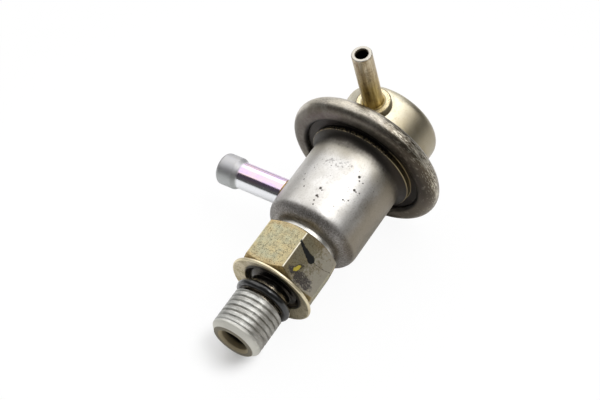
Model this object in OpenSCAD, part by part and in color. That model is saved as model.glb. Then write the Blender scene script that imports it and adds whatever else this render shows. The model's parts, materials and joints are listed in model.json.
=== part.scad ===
// Fuel pressure regulator with a screwed stem, for the end of a fuel rail. Sizes are in millimetres.
// +X runs along the axis from the stem to the cover, +Y along the return pipe and +Z along the vacuum pipe.
// The origin lies on the axis at the upper end of the rail thread, where the seal ring begins.

/* [Stem and seal] */
// Diameter of the stem's thread
thread_d = 16; // [15:0.5:17]
// Pitch of the stem's thread
thread_pitch = 1.75; // [1:0.25:2]
// Length of full thread that goes into the rail
rail_thread_len = 11.7; // [9:0.1:16]
// Chamfer at the stem's lower end
end_chamfer = 1.6; // [1:0.1:2.2]
// Length of the plain neck for the seal ring
neck_len = 6.2; // [4.2:0.1:7]
// Diameter of the fuel inlet bore
inlet_bore_d = 8.8; // [7:0.1:9.6]
// Diameter of the narrow bore into the fuel chamber
feed_bore_d = 6; // [4:0.1:6.8]
// Diameter of the shoulder between nut and housing
shoulder_d = 19.5; // [18.4:0.1:22]
// Length of that shoulder
shoulder_len = 1.7; // [1:0.1:4]
// Thickness of the seal ring's section
seal_section = 2.6; // [2:0.1:3]

/* [Lock nut and washer] */
// Width of the nut across its flats
nut_af = 23; // [21:1:27]
// Height of the nut
nut_h = 15.3; // [10:0.1:18]
// Turn of the nut's corner from the return pipe towards the vacuum pipe, in degrees
nut_turn = 54.5; // [0:0.5:60]
// Outer diameter of the washer
washer_d = 26.6; // [24:0.1:30]
// Thickness of the washer
washer_t = 1; // [0.8:0.1:1.6]
// Dish of the washer towards the seal
washer_dish = 0.5; // [0:0.1:0.6]
// Distance of the backed-off washer from the seal ring
washer_rise = 2.5; // [2.3:0.1:4]

/* [Housing and cover] */
// Thickness of the drawn sheet
sheet = 1.25; // [1:0.05:1.45]
// Outer diameter of the lower housing
housing_d = 29.5; // [28:0.1:31]
// Length of the lower housing from its bottom to the middle of the rim
housing_len = 33.75; // [32:0.05:40]
// Radius round the lower housing's bottom edge
housing_edge_r = 4.75; // [2:0.05:5]
// Diameter of the step under the flange
step_d = 33.4; // [32:0.1:35]
// Radius of the flare from the lower housing out to the step
flare_r = 4; // [3:0.1:5]
// Outer diameter of the rolled rim
rim_d = 50.3; // [48:0.1:56]
// Thickness of the rolled rim
rim_t = 6.2; // [5.7:0.05:7.2]
// Gap between the step and the rolled lip
lip_gap = 2.5; // [1.5:0.1:3]
// Outer diameter of the spring cover
cover_d = 30.9; // [29.5:0.1:33]
// Length of the cover from the middle of the rim to its end
cover_len = 18.05; // [17:0.05:24]
// Radius round the cover's end
cover_edge_r = 3.6; // [2:0.05:4.2]

/* [Pipes] */
// Outer diameter of the return pipe
return_d = 8.5; // [7:0.1:9.2]
// Wall of the return pipe
return_wall = 1.05; // [0.8:0.05:1.3]
// Distance of the return pipe from the housing's bottom
return_pos = 12.36; // [10.5:0.02:13.5]
// Reach of the return pipe from the axis
return_reach = 38.75; // [34:0.05:50]
// Diameter of the bulged hose end
bulge_d = 10; // [9.6:0.1:11.5]
// Length of the bulged hose end
bulge_len = 7.2; // [6:0.1:9]
// Radius of the return pipe's bend inside the housing
bend_r = 7.5; // [6:0.1:8]
// Outer diameter of the vacuum pipe
vacuum_d = 6.2; // [5:0.1:7]
// Bore of the vacuum pipe
vacuum_bore_d = 4; // [3:0.1:4.4]
// Distance of the vacuum pipe from the middle of the rim
vacuum_pos = 9.48; // [8.9:0.02:10.2]
// Reach of the vacuum pipe from the axis
vacuum_reach = 38.1; // [32:0.05:50]
// Diameter of the collar at the vacuum pipe's foot
collar_d = 10.8; // [9.5:0.1:11.6]
// Height of the collar above the cover
collar_h = 1.45; // [1:0.05:2]

/* [Valve and spring] */
// Thickness of the diaphragm's web
web_t = 0.8; // [0.5:0.05:1]
// Diameter of the plate under the diaphragm
holder_d = 20; // [16:0.1:21]
// Diameter of the valve ball
ball_d = 5; // [4.4:0.1:5.4]
// Diameter of the valve disc
disc_d = 9; // [8:0.1:10]
// Bore of the valve seat
seat_bore_d = 4.4; // [3:0.1:5]
// Diameter of the pressure spring at the middle of its wire
spring_d = 18; // [16:0.1:18.6]
// Diameter of the pressure spring's wire
spring_wire = 2.2; // [1.6:0.1:2.4]
// Number of turns of the pressure spring
spring_turns = 4.5; // [3.75:0.25:5]

/* [Hidden] */
// One piece by its name, or all of them
$fn = 96;

// Clearances
// Play between the nut's bore and the thread, on the radius
thread_play = 0.05;
// Play between the washer's hole and the thread, on the radius
washer_play = 1.1;
// Gap between turning faces
face_gap = 0.1;
// Gap between the backed-off nut and the shoulder
stop_gap = 0.3;
// Gap between the closed valve disc and its seat
seat_gap = 0.05;
// Play round the valve ball in its holder
ball_play = 0.06;
// A little more than nothing, for cuts that run past a face
past = 0.1;

// Stem, along the axis
thread_r = thread_d / 2;
// Depth of a metric thread as a share of its pitch
depth_share = 0.6134;
thread_depth = depth_share * thread_pitch;
// Length over which the upper thread rises from the neck
run_in = 1.1;
// Chamfers where the threads end
run_out = 0.4;
stem_x0 = -rail_thread_len - end_chamfer;
// Depth of the neck below the thread's root
undercut = 0.58;
neck_r = thread_r - thread_depth - undercut;
neck_x0 = run_out;
neck_x1 = neck_x0 + neck_len;
seal_r = seal_section / 2;
seal_squeeze = 0.05;
seal_mid_r = neck_r + seal_r - seal_squeeze;
// Gap between the rail thread and the seal ring
seal_gap = 0.75;
seal_x = neck_x0 + seal_gap + seal_r;
washer_x0 = seal_x + seal_r + washer_rise;
washer_x1 = washer_x0 + washer_t + washer_dish;
washer_hole_r = thread_r + washer_play;
nut_x0 = washer_x1 + face_gap;
nut_x1 = nut_x0 + nut_h;
shoulder_x0 = nut_x1 + stop_gap;
shoulder_x1 = shoulder_x0 + shoulder_len;
upper_x1 = shoulder_x0 - run_out;
nut_corner_r = nut_af / sqrt(3);
// Flat end of the nut as a share of its flats, and the slope of the chamfer beside it
nut_end_share = 0.97;
nut_chamfer_angle = 30;
// Chamfer of the nut's thread
nut_bore_chamfer = 1;
// Step from the thread in to the spigot that holds the housing
spigot_step = 1;
spigot_r = min(thread_r, shoulder_d / 2) - spigot_step;
// Chamfer at the inlet's mouth, and the depth of the wide bore past the nut's lower face
mouth_chamfer = 0.8;
bore_past_nut = 12;
wide_bore_x1 = nut_x0 + bore_past_nut;
// Length of the cone from the wide bore to the narrow one
bore_cone = 1.2;

// Housing, along the axis
housing_r = housing_d / 2;
bottom_x = shoulder_x1;
rim_x = bottom_x + housing_len;
rim_r = rim_t / 2;
rim_mid_r = rim_d / 2 - rim_r;
step_r = step_d / 2;
lip_x0 = rim_x - rim_r;
flange_x0 = lip_x0 + sheet;
flange_x1 = flange_x0 + sheet;
step_h = step_r - housing_r;
// Height of the step's wall below the flange
step_wall = 1.65;
step_x0 = flange_x0 - step_wall;
flare_bend = max(flare_r, step_h);
flare_x0 = step_x0 - sqrt(step_h * (2 * flare_bend - step_h));
flare_x1 = flare_x0 + sqrt(pow(flare_bend + sheet, 2) - pow(flare_bend - step_h + sheet, 2));
// Least radius inside a drawn corner
least_bend = 0.5;
// Rise of the riveted spigot inside the housing
spigot_rise = 1.6;
spigot_x1 = bottom_x + sheet + spigot_rise;

// Cover
cover_r = cover_d / 2;
cover_in_r = cover_r - sheet;
cover_x1 = rim_x + cover_len;
cover_flange_x0 = rim_x + rim_r - sheet;
cover_flange_x1 = rim_x + rim_r;
cover_fillet = 2;
lip_end_r = step_r + lip_gap;
vacuum_x = rim_x + vacuum_pos;
// Depth of the pipe's end inside the cover, and of the collar's saddle below the cover's top
pipe_entry = 0.8;
saddle_depth = 2.5;
pipe_inner_z = cover_in_r - pipe_entry;
// Chamfer at the pipe's tip and the collar's edge
pipe_edge = 0.3;

// Diaphragm and its clamped edge
bead_r = (cover_flange_x0 - flange_x1) / 2;
bead_x = (cover_flange_x0 + flange_x1) / 2;
// Width of the clamped edge
clamp_w = 4;
bead_in_r = rim_mid_r - clamp_w;
web_x0 = bead_x - web_t / 2;
web_x1 = web_x0 + web_t;
// Inner radius of the fold
fold_r = 1.1;

// Valve, from the diaphragm down to the seat
plate_t = 1.4;
// Room between the holder's plate and the housing
holder_room = 2;
holder_r = min(holder_d / 2, housing_r - sheet - holder_room);
fold_mid_r = (holder_r + step_r - sheet) / 2;
plate_x0 = web_x0 - plate_t;
ball_r = ball_d / 2;
// Wall and height of the hub round the ball
hub_wall = 1.9;
hub_h = 3.2;
hub_r = ball_r + hub_wall;
pocket_r = ball_r + ball_play;
hub_x0 = plate_x0 - hub_h;
// Place of the ball's middle inside the hub, and of its pocket's end past that
ball_set = 1.4;
pocket_past = 1.2;
ball_x = hub_x0 + ball_set;
// Distance of the ball's flat from its middle
ball_flat = 1.7;
disc_t = 1.4;
disc_x1 = ball_x - ball_flat;
disc_x0 = disc_x1 - disc_t;
// Place, thickness and grip of the ring that keeps the ball
ring_set = 0.2;
ring_t = 0.4;
ring_grip = 0.8;
ring_x0 = hub_x0 + ring_set;
ring_hole_r = sqrt(ball_r * ball_r - pow(ball_x - ring_x0 - ring_t, 2)) + ball_play;
ring_r = pocket_r + ring_grip;
stud_r = 3.6;
stud_bore_r = 1.9;
seat_plate_t = 1;
stud_x1 = web_x1 + seat_plate_t;
// Head of the rivet, and its chamfer, which the valve disc shares
rivet_t = 0.7;
rivet_lap = 1;
rivet_r = stud_r + rivet_lap;
small_chamfer = 0.3;
bore_x1 = stud_x1 - small_chamfer;
// Share of the wire that is ground off at a coil's end
ground_share = 0.16;
small_wire = 0.45;
small_play = 0.15;
small_mid_r = stud_bore_r - small_wire / 2 - small_play;
small_seat = sqrt(pow(ball_r + small_wire / 2, 2) - small_mid_r * small_mid_r);
small_x0 = ball_x + small_seat - (0.5 - ground_share) * small_wire;

// Return pipe and valve seat
return_r = return_d / 2;
return_bore_r = return_r - return_wall;
// Least rise of the bulge, the length of its ramp and the rounding of its mouth
bulge_rise = 0.5;
bulge_ramp = 1.4;
bulge_nose = 1.2;
bulge_r = max(bulge_d / 2, return_r + bulge_rise);
return_x = bottom_x + return_pos;
// Head, plug and land of the valve seat
seat_head_t = 2.4;
seat_flange = 0.6;
seat_plug = 2.5;
seat_wall = 0.7;
seat_land_w = 0.9;
seat_x1 = disc_x0 - seat_gap;
seat_land_h = 0.6;
seat_head_x0 = seat_x1 - seat_land_h - seat_head_t;
seat_head_r = return_r + seat_flange;
seat_bore_r = min(seat_bore_d / 2, return_bore_r - seat_wall);
seat_land_r = seat_bore_r + seat_land_w;

// Spring seat and pressure spring
spring_r = spring_d / 2;
wire_r = spring_wire / 2;
cup_wall = 0.8;
// Rim of the spring seat above its plate, and its play round the spring
cup_rim = 1.6;
cup_play = 0.3;
cup_in_r = spring_r + wire_r + cup_play;
cup_r = cup_in_r + cup_wall;
spring_x0 = stud_x1;
spring_x1 = cover_x1 - sheet;

// Turns a shape that stands on Z to lie along X
module along_x() {
    rotate([0, 90, 0]) children();
}

// A ring or disc section between two radii and two places along the axis
module band(r0, r1, x0, x1) {
    translate([r0, x0]) square([r1 - r0, x1 - x0]);
}

// The hollow corner left between a wall at radius r and a face at x, rounded by f, on the far side of both
module inner_corner(r, x, f) {
    difference() {
        translate([r, x]) square([f, f]);
        translate([r + f, x + f]) circle(f);
    }
}

// A round wire wound round the axis, with closed ends ground flat, from x0 to x1
function rise(u, turns, closed, low) =
    let (t = u * turns, high = (1 - 2 * low * closed) / (turns - 2 * closed))
    t < closed ? low * t :
    t > turns - closed ? 1 - low * (turns - t) :
    low * closed + high * (t - closed);

module coil(x0, x1, mid_r, wire, turns, sides, per_turn) {
    ground = ground_share * wire;
    len = x1 - x0 - wire + 2 * ground;
    closed_pitch = 1.04 * wire;
    low = min(closed_pitch / len, 0.9 / turns);
    n = round(turns * per_turn);
    points = [for (i = [0:n], k = [0:sides - 1])
        let (a = 360 * turns * i / n, b = 360 * k / sides,
            x = x0 + wire / 2 - ground + len * rise(i / n, turns, 1, low) + wire / 2 * sin(b),
            r = mid_r + wire / 2 * cos(b))
        [max(x0, min(x1, x)), r * cos(a), r * sin(a)]];
    walls = [for (i = [0:n - 1], k = [0:sides - 1])
        let (p = i * sides + k, q = i * sides + (k + 1) % sides)
        each [[p, q, q + sides], [p, q + sides, p + sides]]];
    first = [for (k = [1:sides - 2]) [0, k + 1, k]];
    last = [for (k = [1:sides - 2]) [n * sides, n * sides + k, n * sides + k + 1]];
    polyhedron(points, concat(walls, first, last));
}

module stem() {
    color("silver") difference() {
        along_x() rotate_extrude() polygon([
            [0, stem_x0], [thread_r - end_chamfer, stem_x0], [thread_r, stem_x0 + end_chamfer],
            [thread_r, 0], [neck_r, neck_x0],
            [neck_r, neck_x1], [thread_r, neck_x1 + run_in],
            [thread_r, upper_x1], [thread_r - run_out, shoulder_x0],
            [shoulder_d / 2, shoulder_x0], [shoulder_d / 2, shoulder_x1],
            [spigot_r, shoulder_x1], [spigot_r, spigot_x1], [0, spigot_x1]]);
        along_x() rotate_extrude() polygon([
            [0, stem_x0 - past], [inlet_bore_d / 2 + mouth_chamfer + past, stem_x0 - past],
            [inlet_bore_d / 2, stem_x0 + mouth_chamfer],
            [inlet_bore_d / 2, wide_bore_x1], [feed_bore_d / 2, wide_bore_x1 + bore_cone],
            [feed_bore_d / 2, spigot_x1 + past], [0, spigot_x1 + past]]);
    }
}

module lock_nut() {
    top_r = nut_end_share * nut_af / 2;
    far_r = nut_corner_r + past;
    drop = (far_r - top_r) * tan(nut_chamfer_angle);
    bore_r = thread_r + thread_play;
    mouth_r = bore_r + nut_bore_chamfer + past;
    color("gold") difference() {
        intersection() {
            translate([nut_x0, 0, 0]) along_x() rotate([0, 0, 90 + nut_turn])
                cylinder(r = nut_corner_r, h = nut_h, $fn = 6);
            along_x() rotate_extrude() polygon([
                [0, nut_x0], [top_r, nut_x0], [far_r, nut_x0 + drop],
                [far_r, nut_x1 - drop], [top_r, nut_x1], [0, nut_x1]]);
        }
        along_x() rotate_extrude() polygon([
            [0, nut_x0 - past], [mouth_r, nut_x0 - past], [bore_r, nut_x0 + nut_bore_chamfer],
            [bore_r, nut_x1 - nut_bore_chamfer], [mouth_r, nut_x1 + past], [0, nut_x1 + past]]);
    }
}

module backup_washer() {
    edge_r = washer_d / 2 - washer_t / 2;
    color("goldenrod") along_x() rotate_extrude() union() {
        polygon([
            [washer_hole_r, washer_x0 + washer_dish], [edge_r, washer_x0],
            [edge_r, washer_x0 + washer_t], [washer_hole_r, washer_x1]]);
        translate([edge_r, washer_x0 + washer_t / 2]) circle(washer_t / 2);
    }
}

module o_ring() {
    color("black") along_x() rotate_extrude() difference() {
        translate([seal_mid_r, seal_x]) circle(seal_r);
        band(0, neck_r, seal_x - seal_section, seal_x + seal_section);
    }
}

// The flare from the lower housing out to radius r, bent round a circle of radius bend, as a section
module flare(r, bend) {
    mid_r = housing_r + flare_bend;
    difference() {
        band(0, r, flare_x0, flare_x0 + sqrt(bend * bend - pow(mid_r - r, 2)));
        translate([mid_r, flare_x0]) circle(bend);
    }
}

module lower_housing() {
    in_r = housing_r - sheet;
    in_edge = max(housing_edge_r - sheet, least_bend);
    color("lightgray") difference() {
        along_x() rotate_extrude() difference() {
            union() {
                band(0, housing_r - housing_edge_r, bottom_x, flange_x0);
                band(0, housing_r, bottom_x + housing_edge_r, flange_x0);
                translate([housing_r - housing_edge_r, bottom_x + housing_edge_r]) circle(housing_edge_r);
                flare(step_r, flare_bend);
                band(0, step_r, step_x0, flange_x0);
                band(0, rim_mid_r, flange_x0, flange_x1);
            }
            band(0, in_r - in_edge, bottom_x + sheet, flange_x1 + past);
            band(0, in_r, bottom_x + sheet + in_edge, flange_x1 + past);
            translate([in_r - in_edge, bottom_x + sheet + in_edge]) circle(in_edge);
            flare(step_r - sheet, flare_bend + sheet);
            band(0, step_r - sheet, flare_x1, flange_x1 + past);
        }
        translate([bottom_x - past, 0, 0]) along_x() cylinder(r = spigot_r, h = sheet + 2 * past);
        translate([return_x, 0, 0]) rotate([-90, 0, 0]) cylinder(r = return_r, h = housing_d);
    }
}

// The outside of the cover and its rolled rim, as a section
module cover_outline() {
    band(0, cover_r - cover_edge_r, rim_x, cover_x1);
    band(0, cover_r, rim_x, cover_x1 - cover_edge_r);
    translate([cover_r - cover_edge_r, cover_x1 - cover_edge_r]) circle(cover_edge_r);
    inner_corner(cover_r, cover_flange_x1, cover_fillet);
    band(0, rim_mid_r, lip_x0, cover_flange_x1);
    translate([rim_mid_r, rim_x]) circle(rim_r);
}

module spring_cover() {
    in_edge = max(cover_edge_r - sheet, least_bend);
    bend = cover_fillet + sheet;
    color("khaki") difference() {
        along_x() rotate_extrude() difference() {
            cover_outline();
            band(0, cover_in_r - in_edge, lip_x0 - past, cover_x1 - sheet);
            band(0, cover_in_r, lip_x0 - past, cover_x1 - sheet - in_edge);
            translate([cover_in_r - in_edge, cover_x1 - sheet - in_edge]) circle(in_edge);
            difference() {
                band(cover_in_r, cover_r + cover_fillet, cover_flange_x0, cover_flange_x0 + bend);
                translate([cover_r + cover_fillet, cover_flange_x1 + cover_fillet]) circle(bend);
            }
            band(0, rim_mid_r, flange_x0, cover_flange_x0);
            translate([rim_mid_r, rim_x]) circle(rim_r - sheet);
            band(0, lip_end_r, lip_x0 - past, flange_x0);
            difference() {
                band(lip_end_r - past, lip_end_r + sheet, lip_x0 - past, flange_x0);
                translate([lip_end_r + sheet, flange_x0]) circle(sheet);
            }
        }
        translate([vacuum_x, 0, 0]) cylinder(r = vacuum_d / 2, h = 2 * cover_d);
    }
}

module vacuum_pipe() {
    pipe_r = vacuum_d / 2;
    collar_r = collar_d / 2;
    collar_z = cover_r + collar_h;
    saddle_z = cover_r - saddle_depth;
    tip_z = vacuum_reach - pipe_edge;
    color("darkkhaki") difference() {
        union() {
            translate([vacuum_x, 0, pipe_inner_z]) cylinder(r = pipe_r, h = tip_z - pipe_inner_z);
            translate([vacuum_x, 0, tip_z]) cylinder(r1 = pipe_r, r2 = pipe_r - pipe_edge, h = pipe_edge);
            difference() {
                translate([vacuum_x, 0, 0]) rotate_extrude() polygon([
                    [0, saddle_z], [collar_r, saddle_z], [collar_r, collar_z - pipe_edge],
                    [collar_r - pipe_edge, collar_z], [0, collar_z]]);
                along_x() rotate_extrude() cover_outline();
            }
        }
        translate([vacuum_x, 0, pipe_inner_z - past]) cylinder(r = vacuum_bore_d / 2, h = vacuum_reach);
    }
}

// The return pipe's path as a solid of radius r: straight out, a bend, and up the axis to the seat
module return_path(r, x1, reach) {
    translate([return_x, bend_r, 0]) rotate([-90, 0, 0]) cylinder(r = r, h = reach - bend_r);
    translate([return_x + bend_r, bend_r, 0]) rotate([0, 0, 180])
        rotate_extrude(angle = 90) translate([bend_r, 0]) circle(r);
    translate([return_x + bend_r, 0, 0]) along_x() cylinder(r = r, h = x1 - return_x - bend_r);
}

module return_pipe() {
    ramp_y0 = return_reach - bulge_len;
    nose_y0 = return_reach - bulge_nose;
    nose_r = bulge_r - bulge_nose;
    color("white") difference() {
        union() {
            return_path(return_r, seat_head_x0, nose_y0);
            translate([return_x, 0, 0]) rotate([-90, 0, 0]) rotate_extrude() union() {
                polygon([[0, ramp_y0], [return_r, ramp_y0], [bulge_r, ramp_y0 + bulge_ramp],
                    [bulge_r, nose_y0], [0, nose_y0]]);
                band(0, nose_r, nose_y0, return_reach);
                translate([nose_r, nose_y0]) circle(bulge_nose);
            }
        }
        return_path(return_bore_r, seat_head_x0 + past, return_reach + past);
    }
}

module valve_seat() {
    color("darkgoldenrod") along_x() rotate_extrude() polygon([
        [seat_bore_r, seat_head_x0 - seat_plug], [return_bore_r, seat_head_x0 - seat_plug],
        [return_bore_r, seat_head_x0], [seat_head_r, seat_head_x0],
        [seat_head_r, seat_head_x0 + seat_head_t], [seat_land_r + seat_land_h, seat_head_x0 + seat_head_t],
        [seat_land_r, seat_x1], [seat_bore_r, seat_x1]]);
}

module diaphragm() {
    color("dimgray") along_x() rotate_extrude() union() {
        band(stud_r, fold_mid_r - fold_r, web_x0, web_x1);
        difference() {
            translate([fold_mid_r, web_x1]) circle(fold_r + web_t);
            translate([fold_mid_r, web_x1]) circle(fold_r);
            band(0, rim_mid_r, web_x1, web_x1 + fold_r + web_t + past);
        }
        band(fold_mid_r + fold_r, bead_in_r + past, web_x0, web_x1);
        band(bead_in_r, rim_mid_r, flange_x1, cover_flange_x0);
        translate([rim_mid_r, bead_x]) circle(bead_r);
    }
}

module valve_holder() {
    color("gray") along_x() rotate_extrude() difference() {
        polygon([
            [0, hub_x0], [hub_r, hub_x0], [hub_r, plate_x0], [holder_r, plate_x0], [holder_r, web_x0],
            [stud_r, web_x0], [stud_r, stud_x1], [rivet_r, stud_x1],
            [rivet_r - small_chamfer, stud_x1 + rivet_t], [0, stud_x1 + rivet_t]]);
        polygon([
            [0, hub_x0 - past], [pocket_r, hub_x0 - past], [pocket_r, ball_x + pocket_past],
            [stud_bore_r, ball_x + ball_r + past], [stud_bore_r, bore_x1], [0, bore_x1]]);
        band(0, ring_r, ring_x0, ring_x0 + ring_t);
    }
}

module spring_seat() {
    color("slategray") along_x() rotate_extrude() union() {
        band(stud_r, cup_r, web_x1, stud_x1);
        band(cup_in_r, cup_r, web_x1, stud_x1 + cup_rim);
    }
}

module valve_disc() {
    color("lightsteelblue") along_x() rotate_extrude() polygon([
        [0, disc_x0], [disc_d / 2 - small_chamfer, disc_x0], [disc_d / 2, disc_x0 + small_chamfer],
        [disc_d / 2, disc_x1], [0, disc_x1]]);
}

module valve_ball() {
    color("gainsboro") along_x() rotate_extrude() difference() {
        translate([0, ball_x]) circle(ball_r);
        band(-ball_d, 0, ball_x - ball_d, ball_x + ball_d);
        band(0, ball_d, ball_x - ball_d, disc_x1);
    }
}

module retainer_ring() {
    color("darkgray") along_x() rotate_extrude() band(ring_hole_r, ring_r, ring_x0, ring_x0 + ring_t);
}

module ball_spring() {
    color("silver") coil(small_x0, bore_x1, small_mid_r, small_wire, 3, 6, 14);
}

module pressure_spring() {
    color("steelblue") coil(spring_x0, spring_x1, spring_r, spring_wire, spring_turns, 10, 28);
}

stem();
lock_nut();
backup_washer();
o_ring();
lower_housing();
spring_cover();
vacuum_pipe();
return_pipe();
valve_seat();
diaphragm();
valve_holder();
spring_seat();
valve_disc();
valve_ball();
retainer_ring();
ball_spring();
pressure_spring();
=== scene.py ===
# %% [markdown]
# # A fuel pressure regulator, dressed for the camera
# The regulator is a small steel pot that screws into the end of a fuel rail. Its solids come from the
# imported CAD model. This lesson lays finer surfaces over the solids that show, such as a cut thread in place
# of a plain rod, and then gives every piece the plating, stains and wear of a used part.
# The frame is loaded first, because the pieces take their places from it.

# %% The frame
import json
import math

import bmesh
import bpy
import numpy as np
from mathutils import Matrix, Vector


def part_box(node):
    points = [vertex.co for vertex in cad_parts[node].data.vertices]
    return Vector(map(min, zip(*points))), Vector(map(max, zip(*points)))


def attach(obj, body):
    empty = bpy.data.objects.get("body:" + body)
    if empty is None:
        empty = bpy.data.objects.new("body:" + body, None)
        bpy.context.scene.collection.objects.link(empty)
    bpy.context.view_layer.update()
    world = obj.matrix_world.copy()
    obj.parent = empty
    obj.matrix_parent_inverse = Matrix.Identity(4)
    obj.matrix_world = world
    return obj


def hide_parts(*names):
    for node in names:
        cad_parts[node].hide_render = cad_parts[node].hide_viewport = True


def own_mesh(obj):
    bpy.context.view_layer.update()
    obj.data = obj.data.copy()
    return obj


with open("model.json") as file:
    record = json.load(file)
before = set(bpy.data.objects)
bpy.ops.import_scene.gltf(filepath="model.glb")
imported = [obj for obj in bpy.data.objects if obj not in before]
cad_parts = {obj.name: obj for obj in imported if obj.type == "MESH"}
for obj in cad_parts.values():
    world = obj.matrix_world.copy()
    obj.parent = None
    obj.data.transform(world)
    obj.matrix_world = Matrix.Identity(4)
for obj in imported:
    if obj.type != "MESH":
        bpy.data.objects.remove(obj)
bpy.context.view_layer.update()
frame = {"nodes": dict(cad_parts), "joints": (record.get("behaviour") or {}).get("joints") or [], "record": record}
MM = 0.001
mounts = {m["name"]: m for m in frame["record"]["mounts"]}


def span(node, axis=0):
    """The lowest and highest place of a CAD node along one axis, in millimetres."""
    low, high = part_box(node)
    return low[axis] / MM, high[axis] / MM


# %% [markdown]
# ## Surfaces from arrays
# Nearly every piece here was turned on a lathe, drawn in a press or bent from tube. In Blender such a form
# could be spun with a Screw modifier, but a grid of points worked out as one array is easier to shape
# further: a thread is a small change of the radius, and a bent tube is the same grid carried along a path.
# An outline is a list of corners, each with the radius that rounds it, as on a drawing.

# %% Outline helpers
ARC_STEPS = 9


def rounded_outline(corners):
    """A closed outline from corners (along, out, rounding): each corner is replaced by an arc that touches
    both of its sides. The arc's centre lies on the corner's bisector, rounding / sin(half angle) away."""
    corners = np.array(corners, float)
    points = []
    for i, (along, out, rounding) in enumerate(corners):
        here = np.array([along, out])
        before = corners[i - 1, :2] - here
        after = corners[(i + 1) % len(corners), :2] - here
        before, after = before / np.linalg.norm(before), after / np.linalg.norm(after)
        half = math.acos(np.clip(before @ after, -1, 1)) / 2
        if rounding == 0 or half > math.radians(89.5):
            points.append(here[None])
            continue
        middle = (before + after) / np.linalg.norm(before + after)
        centre = here + middle * rounding / math.sin(half)
        first = here + before * rounding / math.tan(half) - centre
        last = here + after * rounding / math.tan(half) - centre
        turn = math.atan2(first[0] * last[1] - first[1] * last[0], first @ last)
        angle = math.atan2(first[1], first[0]) + np.linspace(0, turn, ARC_STEPS)
        points.append(centre + rounding * np.stack([np.cos(angle), np.sin(angle)], 1))
    return np.concatenate(points)


def finer(outline, step, where=lambda along, out: np.full(along.shape, True)):
    """The same closed outline with extra points, so that no side for which `where` is true is longer than
    step. Each side is cut into equal parts."""
    following = np.roll(outline, -1, axis=0)
    length = np.linalg.norm(following - outline, axis=1)
    middle = (outline + following) / 2
    parts = np.where(where(middle[:, 0], middle[:, 1]), np.ceil(length / step), 1).astype(int).clip(1)
    side = np.repeat(np.arange(len(outline)), parts)
    place = (np.arange(len(side)) - np.repeat(np.cumsum(parts) - parts, parts)) / parts[side]
    return outline[side] + place[:, None] * (following - outline)[side]


# %% [markdown]
# ## From an outline to a piece
# Turning carries an outline round the X axis. The grid of points then becomes a mesh in one call: rolling
# the array of point numbers by one gives each point's neighbours, so the quads are four such arrays side by
# side. The new piece is told which body it moves with and which solids it replaces.

# %% Grid and mesh helpers
def turned(outline, around=128):
    """An outline turned about X: point (along, out) at the angle a becomes (along, out cos a, out sin a).
    Returns the grid (outline points, angles, 3) and the angles, which count from +Y towards +Z."""
    angle = np.linspace(0, 2 * np.pi, around, endpoint=False)
    along, out = outline[:, :1], outline[:, 1:]
    grid = np.stack(np.broadcast_arrays(along, out * np.cos(angle), out * np.sin(angle)), -1)
    return grid, angle


def piece_from_grid(name, grid, body, replaces=(), sharp=40):
    """A mesh from a grid of points in millimetres that closes on itself both ways. Points that fall
    together, as at a pole, are merged, and edges sharper than the angle `sharp` stay crisp."""
    rows, columns = grid.shape[:2]
    number = np.arange(rows * columns).reshape(rows, columns)
    below, beside = np.roll(number, -1, 0), np.roll(number, -1, 1)
    both = np.roll(below, -1, 1)
    quads = np.stack([number, below, both, beside], -1).reshape(-1, 4)
    mesh = bpy.data.meshes.new(name)
    mesh.from_pydata((grid.reshape(-1, 3) * MM).tolist(), [], quads.tolist())
    work = bmesh.new()
    work.from_mesh(mesh)
    bmesh.ops.remove_doubles(work, verts=work.verts, dist=1e-7)
    bmesh.ops.dissolve_degenerate(work, edges=work.edges, dist=1e-7)
    bmesh.ops.recalc_face_normals(work, faces=work.faces)
    work.to_mesh(mesh)
    work.free()
    mesh.shade_smooth()
    mesh.set_sharp_from_angle(angle=math.radians(sharp))
    piece = bpy.data.objects.new(name, mesh)
    bpy.context.scene.collection.objects.link(piece)
    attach(piece, body)
    if replaces:
        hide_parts(*replaces)
    print(name, len(mesh.polygons), "faces")
    return piece


# %% [markdown]
# ## The stem's outline
# The stem is one turned bar: the rail thread, a plain neck for the seal ring, a second thread for the lock
# nut and a shoulder. Fuel comes in through a bore that narrows behind the nut. A turner draws half of such a
# section, and the outline does the same, up along the outside and back down the bore. The stretches that
# carry a thread get extra points, because a groove can bend only where there are points.

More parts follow.
